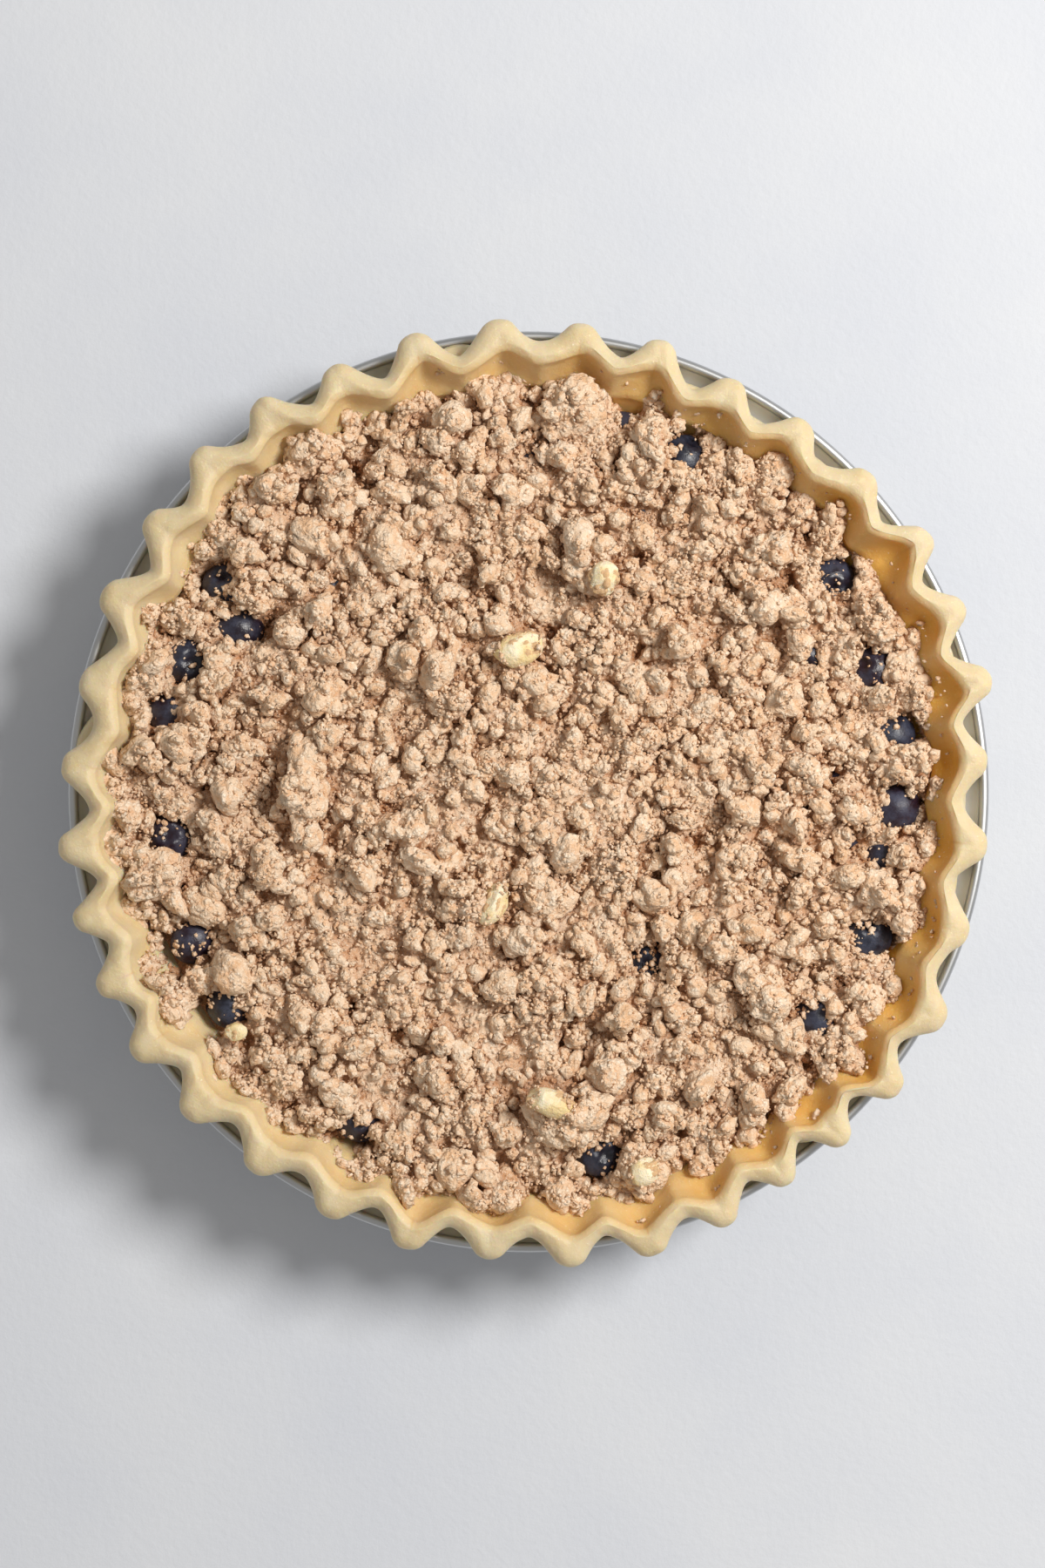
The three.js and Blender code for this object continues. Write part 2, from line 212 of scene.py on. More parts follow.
def satin_aluminium():
    """Metal with fine rings left by the pressing, worn patches and rubbed roughness."""
    material, shader, place = new_finish("satin_aluminium")
    flat = place.node("ShaderNodeVectorMath", {"operation": "MULTIPLY"}, {0: place, 1: (1, 1, 0)})
    radius = flat.node("ShaderNodeVectorMath", {"operation": "LENGTH"}, {0: flat}, "Value")
    height = place.node("ShaderNodeSeparateXYZ", {}, {0: place}, "Z")
    rings = place.node("ShaderNodeTexNoise", {"noise_dimensions": "1D"},
                       {"W": radius + height * 0.7, "Scale": 3.5, "Detail": 4.0, "Roughness": 0.7})
    worn = place.noise(0.06, 3.0, 0.6)
    place.feed(shader, {
        "Base Color": worn.blend(linear(182, 184, 186), linear(206, 207, 207)),
        "Roughness": 0.26 + 0.16 * worn + 0.12 * rings,
        "Metallic": 1.0,
        "Normal": place.bump(rings, 0.03),
    })
    return material


bead_turn = np.radians(np.linspace(-105, 150, 14))
bead = np.stack([
    TIN_RIM_RADIUS - TIN_BEAD_RADIUS * (1 - np.cos(bead_turn)),
    RIM_TOP - 0.2 + TIN_BEAD_RADIUS * np.sin(bead_turn),
], -1)
tin_outside = rounded([
    (0, 0, 0),
    (TIN_BASE_RADIUS, 0, 4),
    (TIN_BASE_RADIUS + WALL_SLOPE * TIN_DEPTH, TIN_DEPTH, 2.6),
    (TIN_RIM_RADIUS - 2.6, TIN_DEPTH, 0),
])
tin_inside = rounded([
    (TIN_RIM_RADIUS - 2.9, RIM_TOP, 0),
    (TIN_TOP_RADIUS, RIM_TOP, 2.4),
    (TIN_BASE_RADIUS - TIN_METAL * WALL_LEAN + WALL_SLOPE * TIN_METAL, TIN_METAL, 3.6),
    (0, TIN_METAL, 0),
])
tin_profile = np.concatenate([tin_outside, bead, tin_inside])


def turned(profile, columns):
    """A profile turned round the Z axis: its first and last points are poles, each other one is a ring."""
    angle = 2 * np.pi * np.arange(columns) / columns
    radius, height = profile[1:-1, 0, None], profile[1:-1, 1, None]
    rings = np.stack([radius * np.cos(angle), radius * np.sin(angle), height + 0 * angle], -1)
    return np.vstack([[0, 0, profile[0, 1]], rings.reshape(-1, 3), [0, 0, profile[-1, 1]]])


tin_shell = made_mesh("tin_shell", turned(tin_profile, TIN_COLUMNS),
                      ring_faces(len(tin_profile) - 2, TIN_COLUMNS), satin_aluminium())
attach(tin_shell, "root")
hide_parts("pie_tin")


# The pastry case is one sheet of raw butter dough, rolled 4 mm thick and laid in the tin. Its edge is folded
# under on the rim into a thick roll, which fingers and thumb have pinched out into 36 pointed flutes.
GAP = 0.3
PASTRY_THICKNESS = 4
PASTRY_UNDERSIDE = TIN_METAL + GAP
PASTRY_FLOOR = PASTRY_UNDERSIDE + PASTRY_THICKNESS
PASTRY_OUTSIDE = TIN_METAL + GAP
PASTRY_INSIDE = PASTRY_OUTSIDE + PASTRY_THICKNESS
FLUTES = 36
FIRST_FLUTE_DEG = 4
FOLD_RADIUS = 113.9
FLUTE_DEPTH = 7.6
ROLL_RADIUS = 4.6
INNER_FOLD_RADIUS = 115.1
INNER_ROLL_RADIUS = 3.1
EDGE_TOP = 51.7
TIP_DIP = 0.8
INNER_SHARE = 0.64
INNER_TURN_DEG = 152
FOOT_RADIUS = 108.2
FOOT_HEIGHT = 39.6
SKIRT_RADIUS = 117.6
PASTRY_COLUMNS = 32 * FLUTES
SHADED_SIDE = np.radians(-3)
SPACING_WAVES = [(1, 1.4, 180), (3, 0.75, 99), (4, 0.95, 6), (6, 0.55, -21)]
RADIUS_WAVES = [
    (1, 0.6, -117), (2, 0.55, -153), (4, 0.95, 99), (6, 0.8, 139), (7, 0.85, 175), (9, 0.6, 42),
]


def slow_waves(rows, angle):
    """The sum of size * cos(waves * angle - peak) over rows of (waves, size, peak in degrees)."""
    return sum(size * np.cos(waves * angle - np.radians(peak)) for waves, size, peak in rows)


def wander(random, angle, slowest, fastest):
    """An uneven line round the pie, about -1 to 1: cosines of random phase, one for each number of waves
    from slowest to fastest, added and divided by the square root of twice their number."""
    waves = np.arange(slowest, fastest + 1)
    phase = random.uniform(0, 2 * np.pi, len(waves))
    return np.cos(np.multiply.outer(angle, waves) - phase).sum(-1) / np.sqrt(2 * len(waves))


def wall_radius(height, inset):
    """The radius at a height of a cone that lies `inset` inside the outer face of the tin's wall."""
    return TIN_BASE_RADIUS + WALL_SLOPE * height - inset * WALL_LEAN


def pinched(angle):
    """How far a place is from the hollow between two pinches: u * u, with u from 0 there to 1 at a pinch."""
    return ((np.mod(FLUTES * angle, 2 * np.pi) - np.pi) / np.pi) ** 2


def arched(angle):
    """The same as a round arch over each pinch, down to a narrow rib in each hollow: the square root of
    sin(pi * u / 2) ** 2 + 0.03, less 0.1."""
    return np.sqrt(np.cos(FLUTES * angle / 2) ** 2 + 0.03) - 0.1


def wall_foot(angle):
    """Where the thick inner side of the edge starts, between the filling and the crumble: the ribs between
    two pinches come a little further in than the hollows under the tips."""
    return FOOT_RADIUS + 2 * arched(angle) + 0.6 * slow_waves(RADIUS_WAVES, angle)


def direction(angle):
    """Where round the pie the dough lies that would be at this angle if all flutes were alike."""
    return angle + np.radians(FIRST_FLUTE_DEG + slow_waves(SPACING_WAVES, angle))


def smoothed(line, reach):
    """A closed line with each value replaced by the mean of those within `reach`, with weights
    1 + cos(pi * k / (reach + 1)) at k steps off."""
    offsets = np.arange(-reach, reach + 1)
    weights = 1 + np.cos(np.pi * offsets / (reach + 1))
    return sum(weight * np.roll(line, k) for k, weight in zip(offsets, weights)) / weights.sum()


def rolled_edge(fold, turns, size):
    """The roll as all that balls touch whose middles run along the fold line. In the upright plane at each
    angle the balls beside it are circles of radius sqrt(size**2 - s**2), s being how far off they are. The
    surface at each turn is the furthest exit of a ray from the middle of the section. Two stretches of roll
    that meet in a pinch so leave a sharp crease inside it and a blunt tip outside."""
    step = 2 * np.pi * FOLD_RADIUS / len(fold)
    reach = int(size / step)
    offsets = np.arange(-reach, reach + 1)
    centres = np.stack([np.roll(fold, k) for k in offsets])
    sizes = np.sqrt(size**2 - (offsets[:, None] * step) ** 2)
    outer, inner = (centres + sizes).max(0), (centres - sizes).min(0)
    middle = (outer + inner) / 2
    along = (centres - middle)[:, None]
    inside = sizes[:, None] ** 2 - (along * np.sin(turns)[:, None]) ** 2
    exits = along * np.cos(turns)[:, None] + np.sqrt(np.maximum(inside, 0))
    return middle, np.where(inside > 0, exits, 0).max(0)


def sheet_rows(random):
    """The rings of the dough sheet, from its underside over the roll and down inside: the radius and height
    of each point, how much painted shade it gets, from 0 outside to 1 inside on the side in the shade, and
    how near it lies to a pinch's crease."""
    angle = 2 * np.pi * np.arange(PASTRY_COLUMNS) / PASTRY_COLUMNS
    tip, arch = pinched(angle), arched(angle)
    flat = 0 * angle
    swell = slow_waves(RADIUS_WAVES, angle) + 0.35 * wander(random, angle, 12, 50)
    depth = FLUTE_DEPTH * (1 + 0.24 * wander(random, angle, 5, 18))
    inner_depth = INNER_SHARE * depth * (1 + 0.3 * wander(random, angle, 9, 40))
    inner_fold = INNER_FOLD_RADIUS + 0.8 * np.cos(angle - SHADED_SIDE)
    turns = np.radians(np.concatenate([np.linspace(-38, 20, 8), np.linspace(28, INNER_TURN_DEG, 20)]))
    fold = FOLD_RADIUS + depth * (tip - 0.35) + 0.35 * FLUTE_DEPTH + swell
    middle, reach = rolled_edge(fold, turns, ROLL_RADIUS)
    outer = middle + reach * np.cos(turns)[:, None]
    height = reach * np.sin(turns)[:, None] - ROLL_RADIUS
    middle, reach = rolled_edge(inner_fold + inner_depth * arch + swell, turns, INNER_ROLL_RADIUS)
    inner = middle + reach * np.cos(turns)[:, None]
    over = np.clip((turns - np.pi / 3) / (np.pi / 3), 0, 1)[:, None]
    over = over**2 * (3 - 2 * over)
    roll = outer + over * (inner - outer)
    height = height + over * (reach * np.sin(turns)[:, None] - INNER_ROLL_RADIUS - height)
    for waves, size in ((40, 0.12), (95, 0.08), (170, 0.05)):
        bump = size * wander(random, angle + 0.02 * turns[:, None], waves, waves + 25)
        roll, height = roll + bump * np.cos(turns)[:, None], height + bump * np.sin(turns)[:, None]
    rise = EDGE_TOP - 0.4 - TIP_DIP * tip + 0.5 * wander(random, angle, 3, 24)
    roll_z = rise + height
    skirt = SKIRT_RADIUS + 3.2 * np.maximum(wander(random, angle, 9, 26), 0)
    plain = rounded([
        (0, PASTRY_UNDERSIDE, 0),
        (wall_radius(PASTRY_UNDERSIDE, PASTRY_OUTSIDE), PASTRY_UNDERSIDE, 4.2),
        (wall_radius(RIM_TOP + GAP, PASTRY_OUTSIDE), RIM_TOP + GAP, 2.8),
        (SKIRT_RADIUS - 3, RIM_TOP + GAP, 0),
    ])[1:-1]
    lining = rounded([
        (wall_radius(RIM_TOP - 9, PASTRY_INSIDE), RIM_TOP - 9, 0),
        (wall_radius(PASTRY_FLOOR, PASTRY_INSIDE), PASTRY_FLOOR, 5),
        (0, PASTRY_FLOOR, 0),
    ])[:-1]
    rows = [(radius + flat, height + flat, 0, 0) for radius, height in plain]
    under, under_z = roll[0], roll_z[0]
    for inset, level in ((1.0, 0), (0.2, 0.5), (0, 1.3)):
        rows.append((skirt - inset, RIM_TOP + GAP + level + flat, 0, 0))
    skirt_z = RIM_TOP + GAP + 1.3
    for share, level in ((0.22, 0.5), (0.55, 0.75), (0.85, 0.92)):
        rows.append((skirt + share * (under - skirt), skirt_z + level * (under_z - skirt_z), 0, 0))
    crease = np.clip(1 - (1 - np.sqrt(tip)) / 0.085, 0, 1) * np.clip(0.5 + wander(random, angle, 7, 30), 0, 1)
    # Painted shade: the inner side is coloured a deeper orange, most towards SHADED_SIDE, where its face
    # turns away from the lamp.
    shaded = 0.08 + 0.92 * (0.5 + 0.5 * np.cos(angle - SHADED_SIDE))
    for turn, radius, level in zip(np.degrees(turns), roll, roll_z):
        inside = 0.6 * shaded * np.clip((turn - 105) / 50, 0, 1)
        rows.append((radius, level, inside, crease * np.clip((turn - 70) / 50, 0, 1)))
    sharp, top_z, foot = roll[-1], roll_z[-1], wall_foot(angle)
    soft = smoothed(sharp, 5)
    for share in (0.93, 0.84, 0.74, 0.63, 0.52, 0.41, 0.3, 0.2, 0.1, 0):
        hollow = 1 - (1 - share) ** (1.1 + 1.5 * arch)
        top = sharp + min(1, 3 * (1 - share)) * (soft - sharp)
        # Painted shade down the slope, and a faint painted shadow along its foot all round.
        inside = shaded * np.clip(0.6 + 2.4 * (1 - share), 0, 1) * (0.6 + 0.4 * arch)
        inside = np.maximum(inside, 0.35 * np.clip(1.8 * (0.5 - share), 0, 1))
        level = FOOT_HEIGHT + share * (top_z - FOOT_HEIGHT)
        rows.append((foot + hollow * (top - foot), level, inside, crease * share))
    for share, level in ((0.75, 38.2), (0.4, 36.2), (0.12, 33.4)):
        wall = wall_radius(level, PASTRY_INSIDE)
        rows.append((np.minimum(wall, foot), level + flat, shaded, 0))
    rows += [(radius + flat, height + flat, shaded, 0) for radius, height in lining]
    return angle, rows


def pastry_points(random):
    """Every ring set at its own directions round the pie, between a pole under the sheet and one on it."""
    angle, rows = sheet_rows(random)
    round_pie = direction(angle)
    rings = [np.stack([r * np.cos(round_pie), r * np.sin(round_pie), z], -1) for r, z, _, _ in rows]
    points = np.vstack([[0, 0, PASTRY_UNDERSIDE], *rings, [0, 0, PASTRY_FLOOR]])
    marks = {}
    for column, mark in ((2, "painted_shade"), (3, "crease")):
        values = np.concatenate([row[column] + 0 * angle for row in rows])
        marks[mark] = np.concatenate([[0], values, [1 - (mark == "crease")]])
    return points, marks, len(rows)


def raw_dough():
    """Cream-yellow dough: satin, faintly mottled with butter. Painted shade makes its inner side a deeper
    orange, most of all on the side in the shade of its own edge, and darker near each pinch's crease."""
    material, shader, place = new_finish("raw_dough")
    mottled = place.noise(0.12, 3.0, 0.55).between(0.3, 0.7)
    flecks = place.noise(1.4, 3.0, 0.6)
    top = mottled.blend(linear(212, 192, 150), linear(218, 203, 168))
    # Painted shade: the dough's inner side is coloured deep orange, as far as its mark says.
    wall = mottled.blend(linear(228, 168, 60), linear(236, 184, 86))
    colour = place.mark("painted_shade").blend(top, wall)
    # Painted shade: darker orange-brown near the crease of each pinch.
    colour = (0.5 * place.mark("crease") ** 2).blend(colour, linear(200, 144, 70))
    pits = place.noise(0.35, 4.0, 0.55) + 0.25 * flecks
    place.feed(shader, {
        "Base Color": flecks.between(0.62, 0.85).blend(colour, linear(246, 238, 214)),
        "Roughness": 0.46 + 0.14 * mottled,
        "Specular IOR Level": 0.4,
        "Subsurface Weight": 0.6,
        "Subsurface Radius": (1.0, 0.55, 0.14),
        "Subsurface Scale": 4 * MM,
        "Normal": place.bump(pits, 0.3),
    })
    return material


points, marks, pastry_rings = pastry_points(np.random.default_rng(36))
pastry_shell = made_mesh("pastry_shell", points, ring_faces(pastry_rings, PASTRY_COLUMNS), raw_dough(), marks)
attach(pastry_shell, "root")
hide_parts("pastry_case")


# The filling is fresh blueberries heaped in the case: round, dark and dusty with bloom, each with the small
# torn crown its flower left. The rows give x, y and the crumble's opening for those that show through it.
FILLING_TOP = 32
BERRY_RADIUS = 7.2
BERRY_CENTRE = 35.5
BERRY_SPACING = 13.2
BERRY_BAND = (74, 104)
BERRY_RINGS = 20
BERRY_COLUMNS = 30
BERRIES_SHOWING = [
    (43.7, 94.2, 5.0), (83.9, 58.4, 5.0), (92.5, 33.2, 4.4), (101, 16, 4.8), (100.2, -4.4, 5.4),
    (93.8, -39.8, 5.4), (19.4, -99, 5.2), (-96.6, -12.3, 5.4), (-94.6, -42.3, 6.8), (-85.6, -60.4, 6.8),
    (-48, -93, 5.8), (-85.1, 57.9, 5.2), (-92, 35.6, 4.6), (-98.1, 21.6, 4.2), (27, 103, 3.4),
    (31.9, -45.8, 3.2), (77.4, -61.1, 3.4), (-78.4, 44, 3.6),
]


def berry_places(random):
    """The berries that show, then others at random in the band along the wall, a berry's width apart."""
    reach = wall_radius(BERRY_CENTRE, PASTRY_INSIDE) - BERRY_RADIUS * WALL_LEAN - GAP
    showing = np.array(BERRIES_SHOWING)[:, :2]
    showing = showing * np.minimum(1, reach / np.hypot(*showing.T))[:, None]
    places = [(*spot, BERRY_CENTRE) for spot in showing]
    for _ in range(1500):
        radius = np.sqrt(random.uniform(BERRY_BAND[0] ** 2, min(BERRY_BAND[1], reach) ** 2))
        angle = random.uniform(0, 2 * np.pi)
        spot = (radius * np.cos(angle), radius * np.sin(angle), BERRY_CENTRE - random.uniform(0.5, 3.5))
        if min(np.hypot(spot[0] - x, spot[1] - y) for x, y, _ in places) > BERRY_SPACING:
            places.append(spot)
    return np.array(places)


def random_turns(random, count, most):
    """Rotation matrices: a turn by any angle round Z after a tilt of up to `most` about a level axis."""
    spin, way = random.uniform(0, 2 * np.pi, (2, count))
    tilt = random.uniform(0, most, count)
    zero, one = np.zeros(count), np.ones(count)

    def about_z(a):
        return np.stack([np.cos(a), -np.sin(a), zero, np.sin(a), np.cos(a), zero, zero, zero, one], -1)

    c, s = np.cos(tilt), np.sin(tilt)
    lean = np.stack([c, zero, s, zero, one, zero, -s, zero, c], -1)
    spin, way, back, lean = (m.reshape(-1, 3, 3) for m in (about_z(spin), about_z(way), about_z(-way), lean))
    return way @ lean @ back @ spin


def placed_copies(shapes, turns, sizes, centres, rings, columns):
    """Points and triangles of copies of ring shapes: each copy is stretched, turned and moved."""
    points = np.einsum("nij,npj->npi", turns, shapes * sizes[:, None]) + centres[:, None]
    faces = ring_faces(rings, columns)
    faces = faces + (np.arange(len(points)) * points.shape[1])[:, None, None]
    return points.reshape(-1, 3), faces.reshape(-1, 3)


def berry_shape():
    """A unit berry as rings from the stalk end up to the crown: a ball a little flatter than round, whose top
    sinks into a round dimple that a five-pointed rim of height 0.14 stands about. Also how much of each point
    is crown."""
    down = np.pi * (1 - (np.arange(1, BERRY_RINGS + 1) / (BERRY_RINGS + 1)) ** 1.15)[:, None]
    around = 2 * np.pi * np.arange(BERRY_COLUMNS) / BERRY_COLUMNS
    star = 0.5 + 0.5 * np.cos(5 * around)
    rim = np.exp(-((down - 0.42) / 0.1) ** 2)
    dimple = np.exp(-(down / 0.3) ** 4)
    radius = 1 + rim * (0.02 + 0.12 * star) - 0.22 * dimple
    x, y = radius * np.sin(down) * np.cos(around), radius * np.sin(down) * np.sin(around)
    z = radius * np.cos(down) * 0.9
    rings = np.stack([x, y, z], -1).reshape(-1, 3)
    crown = np.concatenate([[0], np.maximum(rim * (0.3 + 0.7 * star), dimple).ravel(), [1]])
    return np.vstack([[0, 0, -0.9], rings, [0, 0, 0.7]]), crown


def berry_skin():
    """Blue-black skin. Pale bloom lies in cloudy patches rubbed by fingers, and is gone on the crown."""
    material, shader, place = new_finish("berry_skin")
    clouds = place.noise(0.22, 4.0, 0.6).between(0.38, 0.66)
    dust = place.noise(3.0, 3.0, 0.6).between(0.3, 0.75)
    bloom = clouds * (0.45 + 0.55 * dust) * (1 - place.mark("crown"))
    skin = place.mark("tone").blend(linear(20, 21, 34), linear(40, 18, 32))
    place.feed(shader, {
        "Base Color": (0.6 * bloom).blend(skin, linear(86, 95, 120)),
        "Roughness": 0.28 + 0.42 * bloom,
        "Specular IOR Level": 0.5,
        "Normal": place.bump(place.noise(1.6, 3.0, 0.6), 0.12),
    })
    return material


def berry_juice():
    """The dark wet bottom of the gaps between berries."""
    material, shader, place = new_finish("berry_juice")
    wet = place.noise(0.3, 3.0, 0.6)
    place.feed(shader, {
        "Base Color": wet.blend(linear(18, 12, 22), linear(52, 22, 34)),
        "Roughness": 0.25 + 0.3 * wet,
        "Normal": place.bump(wet, 0.8),
    })
    return material


random = np.random.default_rng(7)
places = berry_places(random)
shape, crown = berry_shape()
count = len(places)
sizes = BERRY_RADIUS * random.uniform(0.9, 1.03, count)[:, None] * random.uniform(0.97, 1.03, (count, 3))
points, faces = placed_copies(np.tile(shape, (count, 1, 1)), random_turns(random, count, 1.5),
                              sizes, places, BERRY_RINGS, BERRY_COLUMNS)
tone = np.repeat(random.uniform(0, 0.8, count) ** 2, len(shape))
blueberries = made_mesh("blueberries", points, faces, berry_skin(),
                        {"crown": np.tile(crown, count), "tone": tone})
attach(blueberries, "root")
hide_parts("blueberry_filling")

# The core under them is one body of berries and juice, wavy on top, that fills the case to its wall.
CORE_COLUMNS = 180
core_profile = np.array([
    (0, PASTRY_FLOOR + GAP),
    (wall_radius(PASTRY_FLOOR, PASTRY_INSIDE) - 3.3, PASTRY_FLOOR + GAP),
    (wall_radius(PASTRY_FLOOR + 3, PASTRY_INSIDE) - 0.6, PASTRY_FLOOR + 3),
    *((wall_radius(z, PASTRY_INSIDE) - 0.6, z) for z in np.linspace(14, FILLING_TOP - 2, 5)),
    *((r, FILLING_TOP - 2) for r in np.linspace(98, 2, 60)),
    (0, FILLING_TOP - 2),
])
points = turned(core_profile, CORE_COLUMNS)
on_top = points[:, 2] > FILLING_TOP - 2.5
points[on_top, 2] += 1.6 * np.sin(points[on_top, 0] / 2.3) * np.sin(points[on_top, 1] / 2.1)
berry_core = made_mesh("berry_core", points, ring_faces(len(core_profile) - 2, CORE_COLUMNS), berry_juice())
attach(berry_core, "root")
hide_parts("blueberry_filling")


# The crumble is butter rubbed into flour and sugar until it clings: fine sand, crumbs of every size and
# knobbly clumps. Under the loose pieces its bed is one heap, whose crumbs below rice size are relief.
CRUMBLE_MIDDLE_TOP = 46
CRUMBLE_EDGE_TOP = 43
CRUMBLE_EDGE_RADIUS = 111
CRUMBLE_UNDERSIDE = FILLING_TOP + GAP
ROLL_UNDERSIDE = 49
DEPTH_IN_DOUGH = 1.5
MAP_REACH = 116
MAP_CELL = 0.25
BED_GRID = 440
BED_STRIPS = 2
BED_CRUMBS = [
    (6.2, 2.2, 4.2, -1.2, 0.8), (3.4, 1.3, 2.4, -0.6, 0.85),
    (1.9, 0.75, 1.35, -0.3, 0.9), (1.05, 0.4, 0.7, -0.12, 0.85),
]


def dome(x, y):
    """The smooth top of the heap: level in the middle, then falling with the cube of the distance."""
    share = np.minimum(np.hypot(x, y) / CRUMBLE_EDGE_RADIUS, 1)
    return CRUMBLE_MIDDLE_TOP + (CRUMBLE_EDGE_TOP - CRUMBLE_MIDDLE_TOP) * share**3


def strewn(random, spacing, jitter=0.42):
    """Places all over the heap: the points of a triangular grid, each moved by a share of the spacing."""
    rows = int(2 * MAP_REACH / (0.866 * spacing)) + 1
    columns = int(2 * MAP_REACH / spacing) + 1
    j, i = np.meshgrid(np.arange(rows), np.arange(columns), indexing="ij")
    x = (i + 0.5 * (j % 2)) * spacing - MAP_REACH
    y = j * 0.866 * spacing - MAP_REACH
    x, y = x.ravel(), y.ravel()
    x = x + spacing * random.uniform(-jitter, jitter, x.shape)
    y = y + spacing * random.uniform(-jitter, jitter, y.shape)
    return x, y


def drift(random, x, y, size):
    """Slow unevenness over the heap, mostly from -1 to 1: the sum of 14 plane waves of about `size` mm in
    random directions, divided by the square root of half their number."""
    way, phase = random.uniform(0, 2 * np.pi, (2, 14))
    pace = 2 * np.pi / (size * random.uniform(0.7, 1.5, 14))
    along = np.multiply.outer(x, pace * np.cos(way)) + np.multiply.outer(y, pace * np.sin(way))
    return np.cos(along + phase).sum(-1) / np.sqrt(7)


def crumble_limit(angle):
    """How far out the crumble reaches over the pastry's sloping inside, furthest up it on the lower left."""
    dough_angle = 2 * angle - direction(angle)
    return wall_foot(dough_angle) + 1.4 + 2 * arched(dough_angle) + 2.3 * (1 - np.cos(angle - 0.5))


def kept_in_case(points):
    """The points, with those that lie too deep in the dough drawn in to DEPTH_IN_DOUGH. Its inner side is the
    slope of the edge, bent as in sheet_rows from its foot up to the roll, and the cone of the wall below."""
    x, y, z = points.T
    angle, away = np.arctan2(y, x), np.hypot(x, y)
    dough_angle = 2 * angle - direction(angle)
    arch, foot = arched(dough_angle), wall_foot(dough_angle)
    roll = INNER_FOLD_RADIUS - INNER_ROLL_RADIUS + INNER_SHARE * FLUTE_DEPTH * arch
    roll = roll + slow_waves(RADIUS_WAVES, dough_angle)
    share = np.clip((z - FOOT_HEIGHT) / (ROLL_UNDERSIDE - FOOT_HEIGHT), 0, 1)
    slope = foot + (1 - (1 - share) ** (1.1 + 1.5 * arch)) * (roll - foot)
    room = np.where(z < FOOT_HEIGHT, np.minimum(foot, wall_radius(z, PASTRY_INSIDE)), slope) + DEPTH_IN_DOUGH
    drawn_in = np.where(z < ROLL_UNDERSIDE, np.minimum(1, room / np.maximum(away, 1)), 1)
    return np.column_stack([x * drawn_in, y * drawn_in, z])


def inner_edge(x, y, inset):
    """How far a place is inside the line that the crumble reaches, less an inset."""
    return crumble_limit(np.arctan2(y, x)) - inset - np.hypot(x, y)


def clear_of(things, x, y, size):
    """Whether a piece of this size at each place leaves every one of the things open, each given as x, y and
    the radius of its opening."""
    things = np.array(things)
    away = np.hypot(x[:, None] - things[:, 0], y[:, None] - things[:, 1])
    return (away > things[:, 2] + np.asarray(size)[..., None]).all(-1)


class HeightMap:
    """The top of the heap so far, as the height of each square cell of a level grid."""

    def __init__(self, cell):
        self.cell = cell
        count = int(2 * MAP_REACH / cell)
        self.line = (np.arange(count) + 0.5) * cell - MAP_REACH
        x, y = np.meshgrid(self.line, self.line, indexing="ij")
        self.top = dome(x, y)
        self.x, self.y = x, y

    def cells(self, x, y):
        """The row and column of the cell over each place."""
        high = len(self.line) - 1
        return (np.clip(((v + MAP_REACH) / self.cell).astype(int), 0, high) for v in (x, y))

    def at(self, x, y):
        """The height under each place, between cells as the mean of the four around, by their nearness."""
        u, v = ((w + MAP_REACH) / self.cell - 0.5 for w in (x, y))
        high = len(self.line) - 2
        i, j = (np.clip(np.floor(w).astype(int), 0, high) for w in (u, v))
        fu, fv = np.clip(u - i, 0, 1), np.clip(v - j, 0, 1)
        low = self.top[i, j] * (1 - fv) + self.top[i, j + 1] * fv
        far = self.top[i + 1, j] * (1 - fv) + self.top[i + 1, j + 1] * fv
        return low * (1 - fu) + far * fu

    def lay_balls(self, x, y, z, size, flat):
        """Raises the map to balls, flattened by a share: z + flat * sqrt(size**2 - distance**2)."""
        reach = int(np.ceil(size.max() / self.cell))
        near = np.arange(-reach, reach + 1)
        a, b = (w.ravel() for w in np.meshgrid(near, near, indexing="ij"))
        for part in np.array_split(np.arange(len(x)), max(1, len(x) * len(a) // 2000000)):
            i, j = self.cells(x[part], y[part])
            i = np.clip(i[:, None] + a, 0, len(self.line) - 1)
            j = np.clip(j[:, None] + b, 0, len(self.line) - 1)
            away = (self.line[i] - x[part, None]) ** 2 + (self.line[j] - y[part, None]) ** 2
            inside = size[part, None] ** 2 - away
            top = np.where(inside > 0, z[part, None] + flat * np.sqrt(np.maximum(inside, 0)), 0)
            np.maximum.at(self.top, (i, j), top)

    def lay_points(self, points):
        """Raises the map to the highest of the points over each cell."""
        i, j = self.cells(points[:, 0], points[:, 1])
        np.maximum.at(self.top, (i, j), points[:, 2])

    def blurred(self, width):
        """The map with every height replaced by the mean around it, weighted by a bell of this width."""
        pace = np.fft.fftfreq(len(self.line), self.cell)
        keep = np.exp(-2 * (np.pi * width * pace) ** 2)
        return np.fft.ifft2(np.fft.fft2(self.top) * keep[:, None] * keep).real


